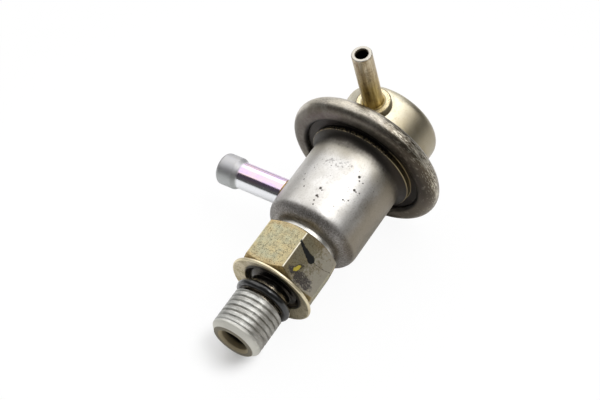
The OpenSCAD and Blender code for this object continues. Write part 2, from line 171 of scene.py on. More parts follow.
# %% Stem outline
PITCH = 1.75
POINTS_PER_PITCH = 20
THREAD_RADIUS = mounts["rail_thread"]["dims"]["r_mm"]
INLET_RADIUS = mounts["fuel_inlet"]["dims"]["r_mm"]
FEED_RADIUS = 3.0
BORE_STEP, BORE_CONE = 12, 1.2
END_CHAMFER, MOUTH_CHAMFER = 1.6, 0.8
NECK_RADIUS, NECK_END = 6.35, 6.6
NECK_FALL, NECK_RISE = 0.4, 1.1
STOP_GAP, RELIEF = 0.3, 0.4
SHOULDER_RADIUS, SPIGOT_RADIUS = 9.75, 7.0
stem_start, stem_end = span("stem")
nut_start, nut_end = span("lock_nut")
housing_start, housing_end = span("lower_housing")
shoulder_start = nut_end + STOP_GAP
wide_bore_end = nut_start + BORE_STEP
stem_outline = rounded_outline([
    (stem_start, INLET_RADIUS + MOUTH_CHAMFER, 0.15), (stem_start, THREAD_RADIUS - END_CHAMFER, 0.3),
    (stem_start + END_CHAMFER, THREAD_RADIUS, 0.6),
    (0, THREAD_RADIUS, 0.2), (NECK_FALL, NECK_RADIUS, 0.25), (NECK_END, NECK_RADIUS, 0.3),
    (NECK_END + NECK_RISE, THREAD_RADIUS, 0.2), (shoulder_start - RELIEF, THREAD_RADIUS, 0.1),
    (shoulder_start, THREAD_RADIUS - RELIEF, 0), (shoulder_start, SHOULDER_RADIUS, 0.35),
    (housing_start, SHOULDER_RADIUS, 0.1), (housing_start, SPIGOT_RADIUS, 0),
    (stem_end, SPIGOT_RADIUS, 0.2), (stem_end, FEED_RADIUS, 0.2),
    (wide_bore_end + BORE_CONE, FEED_RADIUS, 0.1), (wide_bore_end, INLET_RADIUS, 0.1),
    (stem_start + MOUTH_CHAMFER, INLET_RADIUS, 0.3)])
stem_outline = finer(stem_outline, PITCH / POINTS_PER_PITCH,
                     lambda along, out: (out > NECK_RADIUS) & (along < shoulder_start))
print("stem outline", len(stem_outline), "points")

# %% [markdown]
# ## The stem's thread
# A thread can be modelled by sweeping a V along a helix and cutting it away. Here the outline is turned and
# the radius is lowered by a groove whose phase follows the helix, place / pitch less the turn of the angle,
# so the whole thread is one expression. The groove fades out at both ends of a thread, as a die leaves it,
# and slowly over the first turns of the rail thread, which wear has flattened.

# %% Stem
THREAD_DEPTH = 0.3 * PITCH
GROOVE_HALF, FLANK = 0.21, 0.17
# Each thread's start and end along the stem, and the length over which it fades out
RAIL_THREAD = (stem_start + 5.0, -0.6, 3.6)
NUT_THREAD = (NECK_END + 0.6, shoulder_start - 0.6, 0.5)
DEEPEST_BELOW_NECK = 0.05


def thread_groove(along, angle):
    """Depth of a right-hand thread from 0 on the crest to 1 at the root: the place along the pitch, less the
    turn of the angle, is 0.5 in the middle of the groove, and the depth falls off evenly from there, which
    gives a V of about 60 degrees between flat crests that wear has widened."""
    phase = (along / PITCH - angle / (2 * np.pi)) % 1
    return np.clip((GROOVE_HALF - np.abs(phase - 0.5)) / FLANK, 0, 1)


def fade(along, start, end, run):
    """1 between start and end, falling to 0 over the length run outside them."""
    return np.clip((along - start) / run + 1, 0, 1) * np.clip((end - along) / run + 1, 0, 1)


stem_grid, stem_angle = turned(stem_outline, 160)
along, out = stem_outline[:, :1], stem_outline[:, 1:]
threaded = fade(along, *RAIL_THREAD) + fade(along, *NUT_THREAD)
cut = thread_groove(along, stem_angle) * THREAD_DEPTH * threaded
deepest = np.maximum(out - NECK_RADIUS + DEEPEST_BELOW_NECK, 0)
cut = np.where(out > NECK_RADIUS, np.minimum(cut, deepest), 0)
thinner = (out - cut) / out
stem_grid[..., 1:] *= thinner[..., None]
stem = piece_from_grid("inlet_stem", stem_grid, "housing", ["stem"], sharp=50)

# %% [markdown]
# ## The lock nut
# The nut is a hexagon bar, chamfered at 30 degrees at both ends, with corners that spanners have dulled. A
# cylinder with six sides would have knife edges. The distance to a flat is a known amount over the cosine of
# the angle from the flat's middle, and taking a soft minimum of the six flats rounds the corners. A second
# soft minimum with the chamfer's cone gives the curved line that every nut has along the top of each flat.

# %% Lock nut
ACROSS_FLATS = 23.0
NUT_TURN = math.radians(54.5)
CORNER_CRISP = 300
CORNER_PACKING = 0.85
CHAMFER_CRISP = 160
CHAMFER_ANGLE = math.radians(30)
THREAD_PLAY = 0.05
NUT_BORE = THREAD_RADIUS + THREAD_PLAY
BORE_CHAMFER = 1.0


def soft_least(*radii, crisp):
    """The least of several positive arrays with its edges rounded: (sum of r to the -crisp) to the
    -1 / crisp. A larger crisp gives a smaller rounding."""
    return sum((r / ACROSS_FLATS) ** -crisp for r in radii) ** (-1 / crisp) * ACROSS_FLATS


def hexagon(angle):
    """Distance from the axis to the hexagon's side at each angle: half the width over the cosine of the
    angle from each flat's middle, and the soft least of the six. The cosines of the flats on the far side
    are held just above 0, which puts those flats too far out to count."""
    flats = NUT_TURN + np.radians(30 + 60 * np.arange(6))
    facing = np.cos(angle[:, None] - flats).clip(0.05)
    return soft_least(*(ACROSS_FLATS / 2 / facing).T, crisp=CORNER_CRISP)


def nut_angles(per_side):
    """Angles round the nut, packed closer towards each corner by a sine so that the corners stay round."""
    part = np.linspace(0, 1, per_side, endpoint=False)
    eased = part - CORNER_PACKING * np.sin(2 * np.pi * part) / (2 * np.pi)
    return (NUT_TURN + np.radians(60) * (np.arange(6)[:, None] + eased)).ravel()


FACE_RADIUS = 0.97 * ACROSS_FLATS / 2
CURVED_ROWS, PLAIN_ROWS = 2.4, 3.4
nut_angle = nut_angles(44)
near_end = np.concatenate([np.linspace(0, CURVED_ROWS, 34), np.linspace(CURVED_ROWS, PLAIN_ROWS, 5)[1:]])
middle_rows = np.linspace(nut_start + PLAIN_ROWS + 1, nut_end - PLAIN_ROWS - 1, 8)
side_along = np.concatenate([nut_start + near_end, middle_rows, (nut_end - near_end)[::-1]])
from_end = np.minimum(side_along - nut_start, nut_end - side_along)
cone = FACE_RADIUS + from_end / math.tan(CHAMFER_ANGLE)
side_out = soft_least(hexagon(nut_angle)[None], cone[:, None], crisp=CHAMFER_CRISP)
bore_along = np.array([nut_end, nut_end - BORE_CHAMFER, nut_start + BORE_CHAMFER, nut_start])
bore_out = NUT_BORE + np.array([BORE_CHAMFER, 0, 0, BORE_CHAMFER])
nut_along = np.concatenate([side_along, bore_along])
nut_out = np.concatenate([side_out, np.repeat(bore_out[:, None], len(nut_angle), 1)])
nut_grid = np.stack(np.broadcast_arrays(
    nut_along[:, None], nut_out * np.cos(nut_angle), nut_out * np.sin(nut_angle)), -1)
nut = piece_from_grid("hex_lock_nut", nut_grid, "nut", ["lock_nut"], sharp=24)

# %% [markdown]
# ## The washer
# Under the nut sits a thin dished washer that keeps the seal ring in place. It was punched, so one edge of
# its rim is round and its plate is not quite flat. A plain turned ring would mirror a perfect circle, so a
# slow wave of a few hundredths of a millimetre, growing towards the rim, is added to its height.

# %% Washer
washer_start, washer_end = span("backup_washer")
washer_reach = span("backup_washer", 1)[1]
WASHER_HOLE = THREAD_RADIUS + 1.1
WASHER_THICK, RIM_FLAT = 1.0, 0.5
SLOW_WAVE, QUICK_WAVE = 0.035, 0.02
washer_outline = rounded_outline([
    (washer_end - WASHER_THICK, WASHER_HOLE, 0.2), (washer_start, washer_reach - RIM_FLAT, 0.6),
    (washer_start, washer_reach, 0.45), (washer_start + WASHER_THICK, washer_reach, 0.5),
    (washer_end, WASHER_HOLE, 0.2)])
washer_grid, washer_angle = turned(finer(washer_outline, 0.6), 160)
washer_far = np.hypot(washer_grid[..., 1], washer_grid[..., 2]) - WASHER_HOLE
wave = SLOW_WAVE * np.sin(2 * washer_angle + 0.6) + QUICK_WAVE * np.sin(5 * washer_angle)
washer_grid[..., 0] += wave * washer_far / washer_far.max()
washer = piece_from_grid("dished_washer", washer_grid, "washer", ["backup_washer"])

# %% [markdown]
# ## The seal ring
# The seal is a rubber ring, squeezed onto the neck between the thread and the washer. A torus would do. A
# square whose corners are rounded by nearly half its side is as good, and the CAD ring gives its size.

# %% Seal ring
seal_start, seal_end = span("o_ring")
seal_reach = span("o_ring", 1)[1]
seal_round = (seal_end - seal_start) / 2 * 0.98
seal_outline = rounded_outline([
    (seal_start, NECK_RADIUS, seal_round), (seal_start, seal_reach, seal_round),
    (seal_end, seal_reach, seal_round), (seal_end, NECK_RADIUS, seal_round)])
seal_grid, _ = turned(seal_outline, 160)
seal = piece_from_grid("seal_ring", seal_grid, "housing", ["o_ring"])

# %% [markdown]
# ## The lower housing
# The lower housing is a cup, deep-drawn from sheet: a round bottom edge, a straight wall, a hollow flare up
# to a step, and a flange. A Solidify modifier could thicken a single skin. Here the outline runs out along
# the outside and back along the inside, which gives the sheet its true thickness at the bends too.

# %% Lower housing
SHEET = 1.25
HOUSING_RADIUS = 14.75
BOTTOM_EDGE = 4.75
STEP_RADIUS = 16.7
FLARE = 4.0
STEP_WALL = 1.65
flange_start = housing_end - SHEET
step_start = flange_start - STEP_WALL
step_height = STEP_RADIUS - HOUSING_RADIUS
flare_start = step_start - math.sqrt(step_height * (2 * FLARE - step_height))
flange_reach = span("lower_housing", 1)[1]


def flare(bend, reach):
    """Corners along the hollow flare: a circle of radius `bend` about a centre that lies FLARE outside the
    wall, from where it leaves the wall to the radius `reach`. The last corner is rounded a little."""
    middle = HOUSING_RADIUS + FLARE
    turn = np.linspace(0, math.acos((middle - reach) / bend), 12)
    corners = [(flare_start + bend * math.sin(t), middle - bend * math.cos(t), 0) for t in turn]
    return corners[:-1] + [(*corners[-1][:2], 0.12)]


housing_outline = rounded_outline([
    (housing_start, SPIGOT_RADIUS, 0), (housing_start, HOUSING_RADIUS, BOTTOM_EDGE),
    *flare(FLARE, STEP_RADIUS), (flange_start, STEP_RADIUS, 0.1),
    (flange_start, flange_reach, 0.1), (housing_end, flange_reach, 0.1),
    (housing_end, STEP_RADIUS - SHEET, 0.3), *flare(FLARE + SHEET, STEP_RADIUS - SHEET)[::-1],
    (housing_start + SHEET, HOUSING_RADIUS - SHEET, BOTTOM_EDGE - SHEET),
    (housing_start + SHEET, SPIGOT_RADIUS, 0)])
housing_grid, _ = turned(finer(housing_outline, 1.5), 192)
housing = piece_from_grid("drawn_housing", housing_grid, "housing", ["lower_housing"])

# %% [markdown]
# ## The spring cover and its rolled rim
# The cover is the second drawn cup. Its edge is rolled right round the housing's flange, which clamps the
# diaphragm and closes the pot for good. Rolling could be shown as a bend along a curve. In section it is
# only an outline with round corners, so it is turned as the housing is. Afterwards the lip is made to waver
# a little, as it does where the tool pressed it down.

# %% Spring cover with its rolled rim
cover_start, cover_end = span("spring_cover")
rim_reach = span("spring_cover", 1)[1]
RIM_HALF = 3.1
COVER_RADIUS = 15.45
COVER_EDGE = 3.6
COVER_FILLET = 2.0
LIP_RADIUS = 19.2
LIP_HEIGHT = 0.9
LIP_FROM_EDGE, LIP_WIDTH = 2, 4
LIP_WAVES = [(0.10, 3, 1), (0.06, 11, 0), (0.04, 23, 0)]
rim_middle = cover_start + RIM_HALF
rim_top = rim_middle + RIM_HALF
cover_outline = rounded_outline([
    (cover_end, 0, 0), (cover_end, COVER_RADIUS, COVER_EDGE), (rim_top, COVER_RADIUS, COVER_FILLET),
    (rim_top, rim_reach, RIM_HALF - 0.01), (cover_start, rim_reach, RIM_HALF - 0.01),
    (cover_start, LIP_RADIUS, SHEET - 0.05), (cover_start + SHEET, LIP_RADIUS, 0.02),
    (cover_start + SHEET, rim_reach - SHEET, RIM_HALF - SHEET - 0.01),
    (rim_top - SHEET, rim_reach - SHEET, RIM_HALF - SHEET - 0.01),
    (rim_top - SHEET, COVER_RADIUS - SHEET, COVER_FILLET + SHEET),
    (cover_end - SHEET, COVER_RADIUS - SHEET, COVER_EDGE - SHEET), (cover_end - SHEET, 0, 0)])
cover_grid, cover_angle = turned(finer(cover_outline, 1.2), 224)
cover_along = cover_grid[..., 0]
cover_far = np.hypot(cover_grid[..., 1], cover_grid[..., 2])
on_lip = np.exp(-((cover_along - cover_start) / LIP_HEIGHT) ** 2) * (cover_along < rim_middle)
lip_share = on_lip * np.clip((rim_reach - LIP_FROM_EDGE - cover_far) / LIP_WIDTH, 0, 1)
waver = sum(height * np.sin(count * cover_angle + turn) for height, count, turn in LIP_WAVES)
cover_grid[..., 1:] *= (1 + waver * lip_share / LIP_RADIUS)[..., None]
cover = piece_from_grid("rolled_cover", cover_grid, "housing", ["spring_cover"])

# %% [markdown]
# ## The vacuum pipe
# The vacuum pipe takes the hose from the intake. It is straight, with a collar that sits on the cover. A
# Boolean could trim its foot, but it can leave ragged faces. Here the pipe is turned upright, and the
# collar's lower points are set to the height of a cylinder lying along X, so the foot follows the round of
# the cover.

# %% Vacuum pipe
vacuum_place = mounts["vacuum_hose"]["pos_m"][0] / MM
VACUUM_RADIUS = mounts["vacuum_hose"]["dims"]["r_mm"]
VACUUM_BORE = mounts["vacuum_port"]["dims"]["r_mm"]
vacuum_low, vacuum_tip = span("vacuum_pipe", 2)
collar_reach = span("vacuum_pipe", 1)[1]
COLLAR_HEIGHT = 1.45
collar_top = COVER_RADIUS + COLLAR_HEIGHT
COLLAR_SINK = 2.5
vacuum_outline = rounded_outline([
    (vacuum_low, VACUUM_BORE, 0.1), (vacuum_low, VACUUM_RADIUS, 0.1),
    (collar_top - COLLAR_SINK - 0.01, VACUUM_RADIUS, 0), (collar_top - COLLAR_SINK, collar_reach, 0),
    (collar_top, collar_reach, 0.3), (collar_top, VACUUM_RADIUS, 0.25),
    (vacuum_tip, VACUUM_RADIUS, 0.35), (vacuum_tip, VACUUM_BORE, 0.25)])
upright, _ = turned(finer(vacuum_outline, 1.0), 96)
vacuum_grid = np.stack([vacuum_place + upright[..., 1], upright[..., 2], upright[..., 0]], -1)
collar_far = np.hypot(upright[..., 1], upright[..., 2])
under_collar = (collar_far > VACUUM_RADIUS + 0.3) & (vacuum_grid[..., 2] < collar_top - 0.5)
saddle = np.sqrt((COVER_RADIUS - SHEET / 2) ** 2 - vacuum_grid[..., 1] ** 2)
vacuum_grid[..., 2] = np.where(under_collar, saddle, vacuum_grid[..., 2])
vacuum_pipe = piece_from_grid("vacuum_nipple", vacuum_grid, "housing", ["vacuum_pipe"])

# %% [markdown]
# ## The return pipe
# The return pipe has a bulged end for the hose and, inside the housing, a bend up to the valve. A bevelled
# curve would give a tube, with its wall, bulge and cut ends still to be made. Here an outline of radius
# against length, with all of these in it, is carried along a straight, a quarter circle and a straight.

# %% Return pipe
return_place = mounts["return_hose"]["pos_m"][0] / MM
RETURN_RADIUS = 4.25
BULGE_RADIUS = mounts["return_hose"]["dims"]["r_mm"]
RETURN_BORE = mounts["return_port"]["dims"]["r_mm"]
return_tip = span("return_pipe", 1)[1]
return_far_end = span("return_pipe")[1]
BEND_RADIUS = 7.5
BULGE_LENGTH = 7.2
BULGE_RAMP = 1.4
straight_out = return_tip - BEND_RADIUS
quarter = BEND_RADIUS * math.pi / 2
path_length = straight_out + quarter + return_far_end - return_place - BEND_RADIUS


def along_return_path(place):
    """Centre and inward side of the return pipe's path at each place, counted from the tip: straight along
    -Y, a quarter circle about a centre off the axis, then straight along +X."""
    turn = np.clip((place - straight_out) / BEND_RADIUS, 0, math.pi / 2)
    onward = np.maximum(place - straight_out - quarter, 0)
    x = return_place + BEND_RADIUS * (1 - np.cos(turn)) + onward
    y = return_tip - np.minimum(place, straight_out) - BEND_RADIUS * np.sin(turn)
    side = np.stack([np.cos(turn), np.sin(turn), 0 * turn], -1)
    return np.stack([x, y, 0 * x], -1), side


return_outline = rounded_outline([
    (0, RETURN_BORE, 0.35), (0, BULGE_RADIUS, 1.2), (BULGE_LENGTH - BULGE_RAMP, BULGE_RADIUS, 0.9),
    (BULGE_LENGTH, RETURN_RADIUS, 1.0), (path_length, RETURN_RADIUS, 0.2), (path_length, RETURN_BORE, 0.2)])
return_outline = finer(return_outline, 0.8)
centre, side = along_return_path(return_outline[:, 0])
return_angle = np.linspace(0, 2 * np.pi, 96, endpoint=False)[None, :, None]
ring = np.cos(return_angle) * side[:, None] + np.sin(return_angle) * np.array([0, 0, 1])
return_grid = centre[:, None] + return_outline[:, 1, None, None] * ring
return_pipe = piece_from_grid("return_tube", return_grid, "housing", ["return_pipe"])

# %% [markdown]
# ## The brazed joint of the return pipe
# Where the pipe goes into the housing, brass has run into the corner and set as a small hollow fillet. It
# is a ring whose section is a quarter circle, hollow side out, carried round the pipe. Each point's
# distance along the pipe starts from the round of the housing below it, so the fillet follows the
# saddle-shaped joint.

# %% Braze fillet
FILLET = 1.1
SINK = 0.45
sweep = np.linspace(0, np.pi / 2, 10)
hollow_out = FILLET * (1 - np.sin(sweep))
hollow_up = FILLET * (1 - np.cos(sweep))
fillet_out = RETURN_RADIUS + np.concatenate([[FILLET], hollow_out, [-SINK, -SINK]])
fillet_up = np.concatenate([[-SINK], hollow_up, [FILLET, -SINK]])
fillet_angle = np.linspace(0, 2 * np.pi, 96, endpoint=False)
fillet_z = fillet_out[:, None] * np.sin(fillet_angle)
fillet_grid = np.stack([
    return_place + fillet_out[:, None] * np.cos(fillet_angle),
    np.sqrt(HOUSING_RADIUS ** 2 - fillet_z ** 2) + fillet_up[:, None], fillet_z], -1)
braze = piece_from_grid("braze_fillet", fillet_grid, "housing")

# %% [markdown]
# ## Writing shader maths as Python
# A material is a graph of nodes, and wiring one by hand takes many lines. The class below wraps a socket so
# that plus, minus and times add the Math nodes by themselves, in the order in which Python works them out.
# Numbers may stand on either side, so a mask is turned round by writing 1 - mask.

# %% Shader maths
class Value:
    """A socket that Python can calculate with."""

    def __init__(self, graph, socket):
        self.graph, self.socket = graph, socket

    def math(self, operation, *others):
        """Adds a Math node whose first input is this value."""
        return self.graph.node("ShaderNodeMath", {"operation": operation}, dict(enumerate((self, *others))))

    def rise(self, low, high):
        """0 below low, 1 above high and an S-curve between, or falling where low is the larger."""
        return self.graph.node("ShaderNodeMapRange", {"interpolation_type": "SMOOTHSTEP"},
                               {"Value": self, "From Min": low, "From Max": high}, "Result")

    def __add__(self, other):
        return self.math("ADD", other)

    def __mul__(self, other):
        return self.math("MULTIPLY", other)

    def __sub__(self, other):
        return self.math("SUBTRACT", other)

    def __truediv__(self, other):
        return self.math("DIVIDE", other)

    def __rsub__(self, other):
        return self.graph.node("ShaderNodeMath", {"operation": "SUBTRACT"}, {0: other, 1: self})

    def __rtruediv__(self, other):
        return self.graph.node("ShaderNodeMath", {"operation": "DIVIDE"}, {0: other, 1: self})

    __radd__, __rmul__ = __add__, __mul__


# %% [markdown]
# ## One method for every other node
# Noise, mixing and bump are nodes of their own kinds. One method adds any of them. Its settings come first,
# because a setting such as the data type decides which sockets a node has. The functions below it are the
# few sums that the finishes share.

# %% Node graph
class Graph:
    """A tree of nodes, of a material or of the world."""

    def __init__(self, tree):
        self.tree = tree

    def node(self, kind, settings, sockets, out=0):
        """Adds any node: its settings first, then its sockets by number, identifier or name."""
        made = self.tree.nodes.new(kind)
        for key, value in settings.items():
            setattr(made, key, value)
        self.fill(made, sockets)
        found = [s for k, s in enumerate(made.outputs) if out in (k, s.identifier)]
        return Value(self, found[0])

    def fill(self, made, sockets):
        """Links a node's sockets to values, or sets them to plain numbers and colours."""
        for key, value in sockets.items():
            socket = [s for k, s in enumerate(made.inputs) if key in (k, s.identifier)][0]
            if isinstance(value, Value):
                self.tree.links.new(value.socket, socket)
            else:
                socket.default_value = value

    def mix(self, share, first, second):
        """A colour between two, by a share from 0 to 1 of the second."""
        return self.node("ShaderNodeMix", {"data_type": "RGBA"},
                         {"Factor_Float": share, "A_Color": first, "B_Color": second}, "Result_Color")


def most(first, *others):
    """The largest of several values."""
    for other in others:
        first = first.math("MAXIMUM", other)
    return first


def least(first, other):
    """The smaller of two values."""
    return first.math("MINIMUM", other)


def radius(a, b):
    """The distance from an axis, the root of the sum of two squares."""
    return (a * a + b * b).math("SQRT")


def shade(red, green, blue):
    """A colour picked on a screen, 0 to 255, as the linear light that the shader works in."""
    screen = np.array([red, green, blue]) / 255
    light = np.where(screen <= 0.04045, screen / 12.92, ((screen + 0.055) / 1.055) ** 2.4)
    return (*light.tolist(), 1.0)


print("shader maths ready, mid grey is", round(shade(128, 128, 128)[0], 3))

# %% [markdown]
# ## A finish that is built in layers
# A real finish is laid on in layers: metal, plating, stains, dirt, paint. The class below works the same
# way. It starts a material with one Principled shader, and each layer mixes one more colour over those
# below, where a mask from 0 to 1 says. The masks come from noise and from places on the piece, in
# millimetres on the object's own coordinates, so a stain stays where it is put from every side.

# %% Finish helper
class Finish(Graph):
    """A material with one Principled shader, and the object's own place in millimetres as x, y and z."""

    def __init__(self, name, **constants):
        self.material = bpy.data.materials.new(name)
        self.material.use_nodes = True
        super().__init__(self.material.node_tree)
        self.tree.nodes.clear()
        output = self.tree.nodes.new("ShaderNodeOutputMaterial")
        self.shader = self.tree.nodes.new("ShaderNodeBsdfPrincipled")
        self.tree.links.new(self.shader.outputs[0], output.inputs["Surface"])
        self.set({key.replace("_", " "): value for key, value in constants.items()})
        self.colour = None
        metres = self.node("ShaderNodeTexCoord", {}, {}, "Object")
        self.place = self.node("ShaderNodeVectorMath", {"operation": "SCALE"},
                               {"Vector": metres, "Scale": 1 / MM})
        self.x, self.y, self.z = (
            self.node("ShaderNodeSeparateXYZ", {}, {0: self.place}, axis) for axis in range(3))

    def set(self, sockets):
        """Sets or links sockets of the Principled shader."""
        self.fill(self.shader, sockets)

    def layer(self, share, colour):
        """Lays a colour over the finish's colours so far, by a share from 0 to 1."""
        self.colour = self.mix(share, self.colour, colour)

    def noise(self, size, detail=3.0, stretch=(1, 1, 1), roughness=0.55):
        """Cloudy values about 0.5 in lumps of `size` millimetres, drawn out along an axis by stretch."""
        where = self.node("ShaderNodeVectorMath", {"operation": "MULTIPLY"},
                          {0: self.place, 1: tuple(1 / (size * s) for s in stretch)})
        return self.node("ShaderNodeTexNoise", {}, {
            "Vector": where, "Scale": 1.0, "Detail": detail, "Roughness": roughness}, "Fac")

    def away_from(self, spot):
        """The distance from a spot in millimetres."""
        return self.node("ShaderNodeVectorMath", {"operation": "DISTANCE"},
                         {0: self.place, 1: spot}, "Value")

    def spots(self, places, size):
        """1 inside each of a few round spots, given by their centres, and 0 outside, with ragged edges."""
        ragged = self.noise(0.5) * (0.9 * size) - 0.45 * size
        return most(*((self.away_from(place) + ragged).rise(size, 0.55 * size) for place in places))

    def bump(self, height, depth):
        """Feeds the shader's normal with a height from 0 to 1 that stands for `depth` millimetres."""
        normal = self.node("ShaderNodeBump", {}, {"Strength": 1.0, "Distance": depth * MM, "Height": height})
        self.set({"Normal": normal})

    def wear(self, *pieces):
        """Feeds the layers to the shader and puts the finish on pieces, in place of any they had."""
        if self.colour is not None:
            self.set({"Base Color": self.colour})
        for piece in pieces:
            piece.data.materials.clear()
            piece.data.materials.append(self.material)
        print(self.material.name, "on", ", ".join(p.name for p in pieces))


# %% [markdown]
# ## Worn zinc on the stem
# The stem was zinc plated and has been screwed in and out. Its crests are rubbed pale and its grooves are
# painted darker as shade, so the colour follows the distance from the axis, and both sides are painted darker
# as shade too. The neck is painted near-black, as oil and as the shade under the washer, and lighter beside
# the seal as a painted highlight. The mouth of the bore is stained tan by fuel, and deeper in the bore is
# painted dark as shade. Streaks round the axis, as a lathe leaves them, are noise that is drawn out along Y
# and Z.

# %% Stem finish
zinc = Finish("worn_zinc")
out = radius(zinc.y, zinc.z)
blotch = zinc.noise(1.8, 4)
fine = zinc.noise(0.3, 3)
lathe = zinc.noise(0.4, 3, stretch=(1, 14, 14))
# The grooves are painted darker as shade.
painted_groove_shade = (out + (blotch - 0.5) * 0.4).rise(THREAD_RADIUS - 0.12, THREAD_RADIUS - 0.5)
metal = zinc.mix(blotch.rise(0.35, 0.7), shade(176, 176, 172), shade(206, 205, 200))
zinc.colour = zinc.mix(lathe.rise(0.45, 0.60) * 0.5, metal, shade(124, 120, 112))
zinc.layer(painted_groove_shade * 0.12, shade(120, 116, 107))
# Painted shade: both sides of the stem, towards -Y and towards +Y, are painted darker.
shaded = (zinc.y + (blotch - 0.5) * 3).rise(-3.5, -6.5) * 0.45
zinc.layer(shaded, shade(126, 119, 107))
zinc.layer((zinc.y + (blotch - 0.5) * 4).rise(1.5, 5.0) * 0.5, shade(150, 151, 147))
zinc.layer(fine.rise(0.55, 0.70) * 0.45, shade(120, 116, 108))
chamfered = (zinc.x + (blotch - 0.5) * 1.6).rise(stem_start + 2.6, stem_start + 1.0)
zinc.layer(chamfered * 0.85, shade(226, 224, 214))
# The neck is painted near-black, as oil and as the shade under the washer, and lighter beside the seal as a
# painted highlight.
neck = zinc.x.rise(-0.1, 0.3) * zinc.x.rise(nut_start + 1.5, nut_start + 1.0)
painted_highlight_by_seal = (zinc.x + (blotch - 0.5) * 1.2).rise(seal_end + 1.6, seal_end + 0.8)
zinc.layer(neck * 0.95, zinc.mix(painted_highlight_by_seal, shade(44, 39, 33), shade(176, 164, 144)))
at_end = zinc.x.rise(stem_start + 0.3, stem_start + 0.1)
zinc.layer(at_end * 0.85, shade(98, 88, 64))
mouth = INLET_RADIUS + MOUTH_CHAMFER
in_mouth = out.rise(mouth + 0.05, mouth - 0.2)
zinc.layer(in_mouth, shade(172, 159, 130))
# Painted shade deeper in the bore.
painted_shade_in_bore = in_mouth * (zinc.x + (blotch - 0.5) * 0.6).rise(stem_start + 1.9, stem_start + 2.9)
zinc.layer(painted_shade_in_bore, shade(44, 39, 33))
# The shoulder is smoother and more metallic, and is also painted lighter as a highlight.
shoulder_polish_and_highlight = zinc.x.rise(shoulder_start - 0.2, shoulder_start + 0.1)
zinc.layer(shoulder_polish_and_highlight * 0.7, shade(228, 225, 218))
rough = 0.40 + fine * 0.14 + chamfered * 0.2 + painted_shade_in_bore * 0.2 - neck * 0.24 - shoulder_polish_and_highlight * 0.12
zinc.set({"Metallic": 0.72 + neck * 0.23 + shoulder_polish_and_highlight * 0.25 - chamfered * 0.4, "Roughness": rough})
zinc.bump(fine * 0.5 + lathe * 0.6 + blotch * 0.6, 0.06)
zinc.wear(stem)

# %% [markdown]
# ## Yellow zinc on the nut
# Yellow passivated zinc is tan with a green cast and never even: it is cloudy, browner towards the ends and
# speckled. One face was gripped by spanners, so it is rubbed grey in patches, and the whole face is painted
# darker as shade. That face is found by the direction it looks in: what lies far enough in that direction is
# on it, and the place across it serves for its marks.

# %% Nut plating
MARKED_FACE = math.radians(144.5)
# Radii of the band where the upper corners are rubbed bright and painted as a highlight.
CORNER_RUB_AND_HIGHLIGHT = 13.12, 13.22
yellow = Finish("yellow_zinc_nut")
out = radius(yellow.y, yellow.z)
cloud = yellow.noise(5.0, 4)
speck = yellow.noise(0.42, 4, roughness=0.75)
fleck = yellow.noise(1.4, 5, roughness=0.72)
yellow.colour = yellow.mix(cloud.rise(0.38, 0.62), shade(180, 167, 130), shade(167, 165, 139))
yellow.layer(fleck.rise(0.46, 0.62) * 0.6, shade(136, 129, 104))
from_middle = (yellow.x - (nut_start + nut_end) / 2).math("ABSOLUTE") + (fleck - 0.5) * 4
yellow.layer(from_middle.rise(4.6, 7.0) * 0.4, shade(184, 150, 94))
yellow.layer(speck.rise(0.52, 0.61) * 0.85, shade(84, 77, 58))
outward = yellow.y * math.cos(MARKED_FACE) + yellow.z * math.sin(MARKED_FACE)
across = yellow.z * math.cos(MARKED_FACE) - yellow.y * math.sin(MARKED_FACE)
on_face = outward.rise(ACROSS_FLATS / 2 - 0.4, ACROSS_FLATS / 2 - 0.1)
grime = yellow.noise(0.8, 5, roughness=0.75)
rubbed = on_face * (grime + (cloud - 0.5) * 0.5 + across * 0.045).rise(0.42, 0.66)
# Painted shade: the whole marked face is painted darker.
yellow.layer(on_face * 0.65, shade(112, 102, 82))
yellow.layer(rubbed * 0.7, shade(190, 184, 170))
print("marked face", round(math.degrees(MARKED_FACE), 1), "degrees from +Y")

# %% [markdown]
# ## Paint and dirt on the nut
# The same face carries a stroke of black paint, the mark a fitter leaves on a tightened joint, with a dab
# of yellow and patches of baked dirt below it. A decal would need a picture, so each mark is a distance
# instead: from a line that bends like a comma and ends in a round head, or from a stretched spot. Noise
# added to the distance makes the edges ragged. The nut's upper corners are rubbed bright and painted lighter
# as a highlight, and its lower end is painted black inside, as oil and as shade.

# %% Nut marks
STROKE_ACROSS = (-6.9, 0.5)
STROKE_ALONG, STROKE_BEND = 16.9, 2.05
STROKE_HALF_WIDTH, STROKE_WIDENING = 0.38, 0.9
STROKE_HEAD = 1.3
# Near-black for oil and painted shade, inside the nut and the washer.
OIL_AND_SHADE = shade(38, 33, 28)
DAB, DAB_SLANT = (12.0, -2.6), 0.4
DIRT = (10.4, 0.9)
SPLASH = (10.6, -3.7)
gone = (across - STROKE_ACROSS[0]) / (STROKE_ACROSS[1] - STROKE_ACROSS[0])
left = 1 - gone
middle = STROKE_ALONG + STROKE_BEND * left * left
wide = (STROKE_HALF_WIDTH + gone * STROKE_WIDENING) * gone.rise(0.95, 0.84)
head_away = radius(yellow.x - STROKE_ALONG, across - STROKE_ACROSS[1] + STROKE_HEAD)
off_line = (yellow.x - middle).math("ABSOLUTE") - wide
off_line = least(off_line, head_away - STROKE_HEAD) + (fleck - 0.5) * 1.3
stroke = off_line.rise(0.12, -0.12) * gone.rise(-0.03, 0.03) * on_face
dirt_away = radius((yellow.x - DIRT[0]) * 0.5, (across - DIRT[1]) * 0.24) + (fleck - 0.5) * 1.8
splash_away = radius(yellow.x - SPLASH[0], (across - SPLASH[1]) * 0.7) + (fleck - 0.5) * 1.8
dirt = most(dirt_away.rise(1.15, 0.85), splash_away.rise(1.2, 0.8))
dirt = dirt * on_face * speck.rise(0.35, 0.46)
